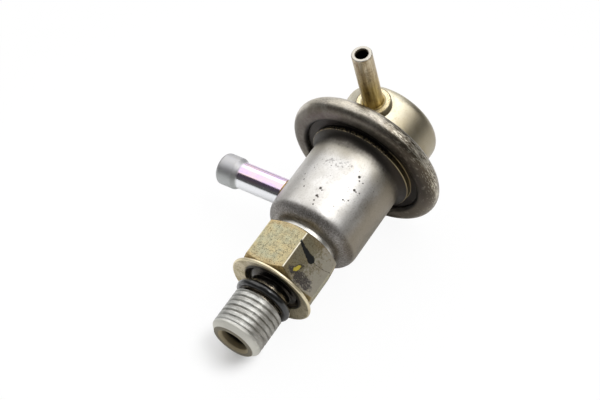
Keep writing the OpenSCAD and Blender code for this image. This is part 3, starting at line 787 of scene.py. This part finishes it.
dab_along = yellow.x - DAB[0]
dab_away = radius(dab_along * 0.6, (across - DAB[1] - dab_along * DAB_SLANT) * 1.2) + (fleck - 0.5) * 2.4
dab = dab_away.rise(0.85, 0.65) * on_face
dab_edge = dab_away.rise(1.3, 1.0) * on_face
# Upper corners: rubbed bright, with a painted highlight along them.
rubbed_and_highlit_corners = (out + (speck - 0.5) * 0.2).rise(*CORNER_RUB_AND_HIGHLIGHT) * yellow.z.rise(5, 9)
# Lower end inside: painted black, as oil and as shade.
oil_and_shade = out.rise(10.6, 9.8) * yellow.x.rise(nut_start + 4, nut_start + 3)
yellow.layer(oil_and_shade * 0.92, OIL_AND_SHADE)
yellow.layer(dirt * 0.92, shade(38, 32, 33))
yellow.layer(dab_edge * 0.8, shade(58, 50, 44))
yellow.layer(dab, shade(172, 154, 46))
yellow.layer(rubbed_and_highlit_corners * 0.8, shade(214, 208, 190))
yellow.layer(stroke, shade(14, 14, 14))
yellow.set({"Metallic": 0.95 * (1 - most(stroke * 0.4, dab, dirt * 0.7))})
yellow.set({"Roughness": 0.38 + speck * 0.16 - rubbed_and_highlit_corners * 0.12 + dirt * 0.15 + stroke * 0.2})
yellow.bump(speck * 0.5 + fleck * 0.3 + most(stroke, dab) * 0.4 - dirt * 0.3, 0.08)
yellow.wear(nut)

# %% [markdown]
# ## The washer's plating
# The washer has the same yellow plating, paler and rubbed cream along its rim. Towards the seal its inner
# part is painted black, as oil and as the shade in its hollow, and the black reaches further out on one side.
# The edge of the black is a circle that is pushed towards that side and roughened by noise.

# %% Washer finish
DARKER_SIDE = math.radians(119.5)
gold = Finish("yellow_zinc_washer", Metallic=0.95)
out = radius(gold.y, gold.z)
cloud = gold.noise(3.0, 4)
speck = gold.noise(0.5, 3)
gold.colour = gold.mix(cloud.rise(0.4, 0.62), shade(206, 195, 168), shade(178, 165, 133))
gold.layer(speck.rise(0.54, 0.68) * 0.6, shade(112, 97, 66))
sideways = gold.y * math.cos(DARKER_SIDE) + gold.z * math.sin(DARKER_SIDE)
# Painted black inside, as oil and as shade, reaching further out on the darker side.
oil_and_shade = (out - sideways * 0.2 + (cloud - 0.5) * 0.8).rise(9.7, 9.0)
oil_and_shade = oil_and_shade * gold.x.rise(washer_end, washer_end - 0.3)
gold.layer(oil_and_shade * 0.92, OIL_AND_SHADE)
rim = out.rise(washer_reach - 0.5, washer_reach - 0.2)
gold.layer(rim * 0.75, shade(228, 216, 184))
gold.set({"Roughness": 0.34 + speck * 0.18 - rim * 0.08})
gold.bump(speck, 0.05)
gold.wear(washer)

# %% [markdown]
# ## Black rubber
# The seal is nitrile rubber wet with oil. Rubber is a dull black plastic to the shader; the oil is a clear
# coat that is thicker in some places, which breaks the highlights into streaks.

# %% Seal finish
rubber = Finish("oily_rubber", Base_Color=shade(9, 9, 9), Specular_IOR_Level=0.3, Coat_Roughness=0.12)
film = rubber.noise(1.6, 3)
grit = rubber.noise(0.3, 2)
rubber.set({"Roughness": 0.30 + grit * 0.2})
rubber.set({"Coat Weight": 0.35 + film.rise(0.35, 0.6) * 0.6})
rubber.bump(grit * 0.5 + film * 0.5, 0.04)
rubber.wear(seal)

# %% [markdown]
# ## Satin steel on the housing
# The housing is bare-looking steel with a soft sheen, drawn lengthwise by the press. Its rounded bottom edge
# is painted dark brown, as a stain and as shade. One side is painted warmer and darker as a reflection, the
# hollow below the rim is painted black as shade and a dark reflection, and the step there is rubbed light in
# patches and painted lighter on one side as a highlight. Each of these is a band along X or Y whose limits
# noise makes uneven.

# %% Housing stains
satin = Finish("satin_steel_housing", Metallic=1.0)
out = radius(satin.y, satin.z)
cloud = satin.noise(7.0, 5)
drawn = satin.noise(0.5, 4, stretch=(14, 1, 1))
grain = satin.noise(0.3, 3)
fleck = satin.noise(0.8, 3)
satin.colour = satin.mix(cloud.rise(0.35, 0.65), shade(208, 206, 203), shade(190, 187, 182))
satin.layer(satin.noise(0.45, 4, roughness=0.7).rise(0.50, 0.66) * 0.35, shade(140, 134, 126))
by_flare = (satin.x + (cloud - 0.5) * 6).rise(flare_start - 7, flare_start - 1)
satin.layer(by_flare * 0.45, shade(176, 166, 142))
# Painted reflection: the -Y side is painted warmer and darker.
warm_painted_reflection = (satin.y + (cloud - 0.5) * 4).rise(-11.5, -14.5)
satin.layer(warm_painted_reflection * 0.9, shade(128, 119, 103))
mottle = satin.noise(0.7, 5, roughness=0.7).rise(0.46, 0.62)
mottled = (satin.y + (cloud - 0.5) * 6).rise(-9.5, -14.5) * mottle
satin.layer(mottled * 0.35, shade(120, 110, 96))
# The bottom edge: a brown stain, painted darker as shade too.
low_edge = satin.x + (cloud - 0.5) * 1.4 + (fleck - 0.5) * 0.9
brown_stain_and_shade = low_edge.rise(housing_start + 3.8, housing_start + 2.4)
brown_stain_and_shade = brown_stain_and_shade * low_edge.rise(housing_start - 0.6, housing_start + 0.5)
brown_stain_and_shade = brown_stain_and_shade * (0.55 + 0.45 * satin.noise(0.5, 5, roughness=0.75).rise(0.36, 0.60))
satin.layer(brown_stain_and_shade * 0.74, shade(68, 59, 52))
# Painted shade and dark reflection: the hollow below the rim is painted black.
high_edge = satin.x + (fleck - 0.5) * 0.9 + (cloud - 0.5) * 1.5
painted_shade_under_rim = high_edge.rise(flare_start - 2.0, flare_start + 1.6)
satin.layer(painted_shade_under_rim * 0.94, shade(36, 31, 28))
step_ring = out.rise(STEP_RADIUS - 0.3, STEP_RADIUS - 0.1)
step_ring = step_ring * out.rise(STEP_RADIUS + 0.4, STEP_RADIUS + 0.1)
# The step is rubbed light in patches, and painted lighter along its -Y side as a highlight.
rubbed_and_lit_step = step_ring * (satin.x + (fleck - 0.5) * 1.2).rise(step_start + 0.9, step_start + 0.5)
rubbed_and_lit_step = rubbed_and_lit_step * satin.noise(0.7, 4, roughness=0.7).rise(0.44, 0.56)
painted_light_step_side = step_ring * (satin.y + (fleck - 0.5) * 5).rise(-10.5, -14.5)
rubbed_and_lit_step = most(rubbed_and_lit_step, painted_light_step_side)
satin.layer(rubbed_and_lit_step * 0.5, shade(190, 172, 132))
print("brown edge up to", round(housing_start + 3.8, 1), "mm, black from", round(flare_start - 2.0, 1), "mm")

# %% [markdown]
# ## Rust pits on the housing
# A scatter of small rust pits runs down the housing. Noise alone would spread them evenly, so the main ones
# are placed one by one, by their length along the axis and their angle round it from +Y towards +Z. The
# rest, and a patch of rough skin, come from fine noise. All of them are dark, rough and sunk in.

# %% Housing pits
BIG_PITS = [(32.9, 98.6), (45.3, 125.6), (41.0, 130.0), (35.6, 97.0)]
SMALL_PITS = [(32.7, 100.6), (31.2, 99.1), (29.9, 101.0), (28.3, 103.0), (44.3, 128.4), (44.5, 133.2),
              (40.9, 132.4), (41.3, 136.7), (36.3, 125.4), (37.2, 131.1), (36.7, 70.4), (34.3, 77.3),
              (35.2, 99.7)]
ROUGH_PATCH = [(44.5, 83.5), (45.5, 87.8), (45.1, 95.7), (45.6, 102.3), (46.8, 108.1)]


def on_housing(places):
    """Points on the housing's wall: along the axis, and the radius times cosine and sine of the angle."""
    along, degrees = np.array(places).T
    angle = np.radians(degrees)
    return np.stack([along, HOUSING_RADIUS * np.cos(angle), HOUSING_RADIUS * np.sin(angle)], 1).tolist()


pits = most(satin.spots(on_housing(BIG_PITS), 0.52), satin.spots(on_housing(SMALL_PITS), 0.30))
patch = satin.spots(on_housing(ROUGH_PATCH), 1.4)
patch = patch * fleck.rise(0.52, 0.60)
scatter = satin.noise(0.8, 2).rise(0.69, 0.75)
spotted = most(pits, patch * 0.4, scatter * 0.7)
satin.layer(spotted * 0.9, shade(62, 56, 51))
rough = 0.36 + drawn * 0.10 + cloud * 0.06 + brown_stain_and_shade * 0.08 + spotted * 0.2 - rubbed_and_lit_step * 0.1
satin.set({"Roughness": rough})
satin.bump(drawn * 0.25 + grain * 0.3 - spotted * 0.9 + fleck * (brown_stain_and_shade + painted_shade_under_rim) * 0.5, 0.06)
satin.wear(housing)

# %% [markdown]
# ## The cover and its rim
# One sheet, two looks. The dome keeps its pale gold passivation. The rim was squeezed in the rolling tool,
# which rubbed its plating off: it is dull steel with brown stains, scratched bright along its outermost line.
# The -Y side of dome and rim is painted darker as shade, the rim's underside is painted darker as dust and
# shade, and the groove is painted black as shade. Masks on the distance from the axis and along it tell the
# zones apart.

# %% Cover finish
pale = Finish("pale_zinc_cover", Metallic=1.0)
out = radius(pale.y, pale.z)
cloud = pale.noise(6.0, 5)
fleck = pale.noise(0.6, 4, roughness=0.68)
hair = pale.noise(0.25, 3, stretch=(1, 6, 6))
dome = pale.mix(cloud.rise(0.38, 0.64), shade(212, 206, 187), shade(190, 181, 157))
# Painted shade: the dome is darker towards -Y.
dome = pale.mix((pale.y + (cloud - 0.5) * 6).rise(-4, -12) * 0.75, dome, shade(119, 108, 86))
dome = pale.mix(fleck.rise(0.52, 0.66) * 0.35, dome, shade(146, 134, 106))
steel = pale.mix(cloud.rise(0.36, 0.62), shade(198, 192, 181), shade(172, 165, 152))
# Painted shade: the rim is darker towards -Y.
steel = pale.mix((pale.y + (cloud - 0.5) * 16).rise(-7, -17) * 0.95, steel, shade(84, 75, 61))
on_rim = (out + (fleck - 0.5) * 0.8).rise(COVER_RADIUS + 2.0, COVER_RADIUS + 3.0)
pale.colour = pale.mix(on_rim, dome, steel)
patchy = pale.noise(1.8, 5, roughness=0.68)
stained = on_rim * (patchy + (cloud - 0.5) * 0.5).rise(0.46, 0.60)
pale.layer(stained * 0.36, shade(98, 88, 75))
speckled = on_rim * pale.noise(0.4, 4, roughness=0.7).rise(0.52, 0.64)
pale.layer(speckled * 0.4, shade(78, 70, 60))
scratched = on_rim * hair.rise(0.55, 0.63) * (pale.y + (cloud - 0.5) * 14).rise(2, -8)
pale.layer(scratched * 0.6, shade(206, 198, 178))
scuffed = out.rise(rim_reach - 0.7, rim_reach - 0.15) * (hair + (cloud - 0.5) * 0.7).rise(0.42, 0.6)
scuffed = scuffed * pale.x.rise(rim_middle - 1.6, rim_middle - 0.6) * pale.z.rise(-13, -1)
pale.layer(scuffed * 0.6, shade(216, 209, 193))
# The rim's underside is painted darker, as dust and as shade.
shaded_dirty_underside = (pale.x + (fleck - 0.5) * 1.0).rise(rim_middle - 1.2, rim_middle - 2.5)
dust_and_shade = pale.mix(pale.z.rise(0, -12), shade(66, 59, 52), shade(114, 105, 92))
pale.layer(shaded_dirty_underside * 0.75, dust_and_shade)
# Painted shade: the groove under the lip is painted black.
painted_shade_in_groove = shaded_dirty_underside * out.rise(LIP_RADIUS + 1.6, LIP_RADIUS + 0.3)
pale.layer(painted_shade_in_groove * 0.85, shade(24, 20, 18))
pale.layer(fleck.rise(0.66, 0.76) * 0.35, shade(84, 74, 62))
pale.set({"Roughness": 0.345 + fleck * 0.12 - on_rim * 0.07 + scuffed * 0.08 + shaded_dirty_underside * 0.1})
pale.bump(fleck * 0.4 + hair * scuffed * 0.9, 0.05)
pale.wear(cover)

# %% [markdown]
# ## The vacuum pipe's plating
# The vacuum pipe has a gold passivation, drawn into faint streaks along its length, greyer towards the hose
# end where hoses have rubbed it. Its cut end is bare silver, its bore is painted dark as shade, and dark rings
# of dirt and painted shade line its collar.

# %% Vacuum pipe finish
gilt = Finish("gold_zinc_pipe", Metallic=1.0)
out = radius(gilt.x - vacuum_place, gilt.y)
streak = gilt.noise(0.9, 4, stretch=(1, 1, 9))
cloud = gilt.noise(2.6, 4)
speck = gilt.noise(0.4, 3)
rubbed = (gilt.z + (cloud - 0.5) * 10).rise(collar_top + 6, vacuum_tip - 2)
plated = gilt.mix(streak.rise(0.36, 0.66), shade(140, 118, 66), shade(178, 157, 102))
worn = gilt.mix(streak.rise(0.36, 0.66), shade(164, 148, 120), shade(202, 190, 166))
gilt.colour = gilt.mix(rubbed, plated, worn)
gilt.layer((cloud + (speck - 0.5) * 0.4).rise(0.52, 0.66) * 0.5, shade(104, 86, 52))
on_collar = out.rise(VACUUM_RADIUS + 0.25, VACUUM_RADIUS + 0.7)
gilt.layer(on_collar, gilt.mix(speck.rise(0.5, 0.65), shade(222, 210, 178), shade(182, 166, 128)))
# Dark rings at the collar's foot and outer edge: dirt and painted shade.
dirt_and_shade_rings = most(
    out.rise(VACUUM_RADIUS + 1.0, VACUUM_RADIUS + 0.5) * cloud.rise(0.35, 0.55),
    (out + (speck - 0.5) * 0.15).rise(collar_reach - 0.42, collar_reach - 0.22))
dirt_and_shade_rings = dirt_and_shade_rings * gilt.z.rise(collar_top + 0.5, collar_top + 0.1) * on_collar
gilt.layer(dirt_and_shade_rings * 0.85, shade(70, 60, 42))
cut_end = gilt.z.rise(vacuum_tip - 0.3, vacuum_tip - 0.08)
gilt.layer(cut_end * 0.9, shade(178, 174, 166))
# Painted shade inside the bore, darker deeper in.
painted_shade_in_bore = out.rise(VACUUM_BORE + 0.2, VACUUM_BORE + 0.05)
deep = gilt.z.rise(vacuum_tip - 0.2, vacuum_tip - 1.2)
gilt.layer(painted_shade_in_bore * deep, shade(26, 22, 17))
gilt.set({"Roughness": 0.30 + streak * 0.12 + speck * 0.10 + on_collar * 0.06 + painted_shade_in_bore * 0.2})
gilt.bump(streak * 0.4 + speck * 0.4, 0.05)
gilt.wear(vacuum_pipe)

# %% [markdown]
# ## The return pipe's plating
# The return pipe is bright zinc with a clear blue passivation. So thin a film shows pale rainbow tints, here
# lilac and rose on the upper side. The bulged end is duller, where it was formed and hoses were pushed on.

# %% Return pipe finish
bright = Finish("bright_zinc_pipe", Metallic=1.0)
streak = bright.noise(0.8, 3, stretch=(1, 14, 1))
cloud = bright.noise(4.0, 3)
speck = bright.noise(0.3, 3)
upper = (bright.z * 0.8 + (bright.x - return_place) * 0.6 + (cloud - 0.5) * 2).rise(0.2, 1.6)
rose = (streak + (cloud - 0.5) * 0.6).rise(0.40, 0.62)
film = bright.mix(rose, shade(192, 168, 204), shade(210, 182, 192))
bright.colour = bright.mix(upper * 0.9, shade(224, 225, 228), film)
bulge = bright.y.rise(return_tip - BULGE_LENGTH - 0.9, return_tip - BULGE_LENGTH + 0.2)
bright.layer(bulge * 0.9, shade(174, 176, 175))
out = radius(bright.x - return_place, bright.z)
# Painted shade inside the bore.
painted_shade_in_bore = out.rise(RETURN_BORE + 0.25, RETURN_BORE + 0.05)
bright.layer(painted_shade_in_bore * 0.8, shade(60, 52, 44))
bright.set({"Roughness": 0.11 + streak * 0.07 + bulge * 0.4 + painted_shade_in_bore * 0.2})
bright.bump(streak * 0.3 + speck * 0.2, 0.03)
bright.wear(return_pipe)

# %% [markdown]
# ## The braze
# Brazing brass is deep yellow where it flowed clean and brown where flux and heat have dulled it. A ripple
# in its surface keeps the fillet from looking turned.

# %% Braze finish
brazed = Finish("braze_brass", Metallic=1.0)
ripple = brazed.noise(0.6, 3)
brazed.colour = brazed.mix(ripple.rise(0.4, 0.65), shade(176, 150, 96), shade(120, 98, 62))
brazed.set({"Roughness": 0.32 + ripple * 0.2})
brazed.bump(ripple, 0.06)
brazed.wear(braze)

# %% [markdown]
# ## The pieces inside
# The valve, its springs and the diaphragm are sealed in. Their solids stay as they are and get plain, true
# finishes, so that a cut-away view of the part also looks right.

# %% Inner finishes
INNER = {
    "turned_brass_seat": (["valve_seat"], shade(196, 166, 100), 0.3, 1.0),
    "diaphragm_cloth_rubber": (["diaphragm"], shade(42, 42, 44), 0.7, 0.0),
    "pressed_steel_valve": (["valve_holder", "spring_seat", "valve_disc", "retainer_ring"],
                            shade(186, 184, 180), 0.33, 1.0),
    "polished_ball": (["valve_ball"], shade(214, 214, 216), 0.12, 1.0),
    "drawn_spring_wire": (["pressure_spring", "ball_spring"], shade(112, 112, 116), 0.36, 1.0),
}
for name, (nodes, base, rough, metallic) in INNER.items():
    plain = Finish(name, Metallic=metallic)
    cloud, grain = plain.noise(2.0, 3), plain.noise(0.3, 2)
    darker = tuple(0.7 * channel for channel in base[:3]) + (1.0,)
    plain.colour = plain.mix(cloud.rise(0.4, 0.65), base, darker)
    plain.set({"Roughness": rough + grain * 0.12})
    plain.bump(grain, 0.02)
    plain.wear(*(frame["nodes"][node] for node in nodes))

# %% [markdown]
# ## How far the spring would shorten
# When the valve lifts, the plate on the diaphragm pushes the lower end of the pressure spring towards the
# cover. The coil is carried over from the CAD model and stays with the housing. Here it gets a mesh of its
# own, and the share of its length that it keeps at the valve's full lift is worked out.

# %% Spring travel
spring_low, spring_high = span("pressure_spring")
joints = {joint["name"]: joint for joint in frame["joints"]}
lift = joints["valve_lift"]["range_m"][1] / MM
kept = 1 - lift / (spring_high - spring_low)
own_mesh(frame["nodes"]["pressure_spring"])
print("spring keeps", round(kept, 3), "of its length at full lift")

# %% [markdown]
# ## The table
# The part lies on a white table, resting on its rim and on the washer, so the table is tilted against the
# part's own axes. A plane could be turned to fit, but a finished object stays unturned here, so the points
# of one large disc are worked out in place. The disc belongs to the stage, not to the part.

# %% Floor
TABLE_UP = np.array([0.224, -0.065, 0.972])
TABLE_DEPTH = 8.55
TABLE_RADIUS = 600.0
table_up = TABLE_UP / np.linalg.norm(TABLE_UP)
table_middle = np.array([stem_start, 0, 0]) - TABLE_DEPTH * table_up
table_side = np.cross(table_up, [1.0, 0, 0])
table_side /= np.linalg.norm(table_side)
table_ahead = np.cross(table_side, table_up)
table_angle = np.linspace(0, 2 * np.pi, 64, endpoint=False)[:, None]
table_edge = np.cos(table_angle) * table_side + np.sin(table_angle) * -table_ahead
table_edge = table_middle + TABLE_RADIUS * table_edge
table_mesh = bpy.data.meshes.new("table")
table_mesh.from_pydata((table_edge * MM).tolist(), [], [tuple(range(len(table_edge)))])
table = bpy.data.objects.new("table", table_mesh)
bpy.context.scene.collection.objects.link(table)
print("table faces", np.round(table_mesh.polygons[0].normal, 3))

# %% [markdown]
# ## White paper that keeps a shadow
# In a catalogue picture the table is as white as the page. More light on it would spoil the part, so most
# of what the camera sees of the table is plain white by itself, all of it further out. The rest is paper
# lit by the lamps, which keeps a faint shadow close to the part and a clearer one beside the stem. The
# metal mirrors the white further out too. Seen from below the table is clear, so that it never hides the
# part.

# %% Floor material
WHITE_SHARE, SHADED_SHARE = 0.94, 0.25
WHITE_FROM, ALL_WHITE_FROM = 90, 160
SHADED_TO, ALL_SHADED_TO = 13, 5
PART_MIDDLE, STEM_SIDE = np.array([45, 0, 0]), np.array([2, 6, 0])


def ray(graph, kind):
    """1 for rays of one kind, such as those from the camera, and 0 for all others."""
    return graph.node("ShaderNodeLightPath", {}, {}, f"Is {kind} Ray")


paper = Finish("white_table", Base_Color=shade(247, 247, 247), Roughness=0.9, Specular_IOR_Level=0.0)
white = paper.node("ShaderNodeEmission", {}, {"Color": (1, 1, 1, 1), "Strength": 1.0})
clear = paper.node("ShaderNodeBsdfTransparent", {}, {})
from_below = paper.node("ShaderNodeNewGeometry", {}, {}, "Backfacing")
under_part = paper.away_from(tuple(table_middle + PART_MIDDLE))
beside_stem = paper.away_from(tuple(table_middle + STEM_SIDE))
further_out = under_part.rise(WHITE_FROM, ALL_WHITE_FROM)
share = WHITE_SHARE + further_out * (1 - WHITE_SHARE)
share = share - beside_stem.rise(SHADED_TO, ALL_SHADED_TO) * (WHITE_SHARE - SHADED_SHARE)
shown = most(ray(paper, "Camera") * share, ray(paper, "Glossy") * further_out, ray(paper, "Transmission"))
lit_paper = Value(paper, paper.shader.outputs[0])
upper = paper.node("ShaderNodeMixShader", {}, {0: shown, 1: lit_paper, 2: white})
both_sides = paper.node("ShaderNodeMixShader", {}, {0: from_below, 1: upper, 2: clear})
paper.fill(paper.tree.nodes["Material Output"], {"Surface": both_sides})
paper.wear(table)

# %% [markdown]
# ## The room
# Beyond the table the camera sees a white room. Metal mirrors that white only behind the part, where the
# backdrop would hang. The rest of the room stays dark to it, as in the photograph, which gives the rim its
# dark underside and the return pipe its stripe. The world's Generated coordinate is the direction a ray
# goes in, and its dot product with the direction of the backdrop tells how close the two are.

# %% World
ROOM_LEVEL = 0.10
BACKDROP = (0.42, 0.46, -0.30)
BACKDROP_EDGE, BACKDROP_WHITE = 0.50, 0.69
world = bpy.data.worlds.new("studio")
bpy.context.scene.world = world
world.use_nodes = True
room = Graph(world.node_tree)
direction = room.node("ShaderNodeTexCoord", {}, {}, "Generated")
ahead = room.node("ShaderNodeVectorMath", {"operation": "DOT_PRODUCT"}, {0: direction, 1: BACKDROP}, "Value")
backdrop = ahead.rise(BACKDROP_EDGE, BACKDROP_WHITE)
shown = most(ray(room, "Camera"), ray(room, "Glossy") * backdrop, ray(room, "Transmission"))
level = ROOM_LEVEL + shown * (1 - ROOM_LEVEL)
room.fill(room.tree.nodes["Background"], {"Color": (1, 1, 1, 1), "Strength": level})
print("room at", ROOM_LEVEL, "of white")

# %% [markdown]
# ## The lamps
# Shiny metal shows its surroundings, so the lamps are placed by what each surface mirrors. The key lamp
# makes the long highlight on the housing, a large lamp overhead lights its other side, and a third behind
# the cover fills the pipes. A small bright lamp nearer the camera sets glints on the rim and the seal. All
# are square area lamps, because their edges show in the metal as those of a real softbox do.

# %% Lamps
LAMP_TARGET = np.array([35, 0, 0]) * MM


def soft_lamp(name, toward, distance, size, brightness):
    """A square soft lamp that stands `distance` metres from the part in the direction `toward` and faces it.
    Its power is its brightness times its area times pi, so lamps of any size can be compared."""
    lamp = bpy.data.objects.new(name, bpy.data.lights.new(name, "AREA"))
    lamp.data.shape = "SQUARE"
    lamp.data.size = size
    lamp.data.energy = brightness * math.pi * size ** 2
    toward = np.array(toward, float) / np.linalg.norm(toward)
    lamp.location = LAMP_TARGET + toward * distance
    lamp.rotation_euler = Vector(toward).to_track_quat("Z", "Y").to_euler()
    bpy.context.scene.collection.objects.link(lamp)
    print(name, "at", np.round(lamp.location, 2))


soft_lamp("key_lamp", (0.45, -0.52, 0.73), 1.0, 0.8, 2.6)
soft_lamp("top_lamp", (0.38, 0.44, 0.81), 1.0, 1.4, 1.6)
soft_lamp("back_lamp", (0.88, 0.25, 0.40), 1.2, 1.1, 0.95)
soft_lamp("glint_lamp", (0.10, -0.48, 0.87), 1.0, 0.3, 6.0)

# %% [markdown]
# ## The camera
# The camera is the photograph's. Its place, tilt and lens were found by fitting the part's outlines to the
# picture, and are given here as a place and two of its three directions. The third is their cross product,
# and the three together are the camera's turning matrix.

# %% Camera
PHOTO_WIDTH = 600
FOCAL_PIXELS = 1600.0
SENSOR_WIDTH = 36.0
CAMERA_PLACE = np.array([-163.42, -211.80, 374.51])
CAMERA_RIGHT = np.array([0.54027, -0.81850, -0.19536])
CAMERA_BACK = np.array([-0.41867, -0.46284, 0.78134])
camera_back = CAMERA_BACK / np.linalg.norm(CAMERA_BACK)
camera_up = np.cross(camera_back, CAMERA_RIGHT)
camera_up /= np.linalg.norm(camera_up)
camera_right = np.cross(camera_up, camera_back)
pose = np.eye(4)
pose[:3, :3] = np.stack([camera_right, camera_up, camera_back], 1)
pose[:3, 3] = CAMERA_PLACE * MM
camera = bpy.data.objects.new("camera", bpy.data.cameras.new("camera"))
camera.data.sensor_width = SENSOR_WIDTH
camera.data.lens = FOCAL_PIXELS / PHOTO_WIDTH * SENSOR_WIDTH
camera.data.clip_end = 10
bpy.context.scene.collection.objects.link(camera)
camera.matrix_world = pose.T
bpy.context.scene.camera = camera
print("lens", round(camera.data.lens, 1), "mm")

# %% [markdown]
# ## Closing
# The Standard view shows a colour as it was written.

# %% Closing
bpy.context.scene.view_settings.view_transform = "Standard"
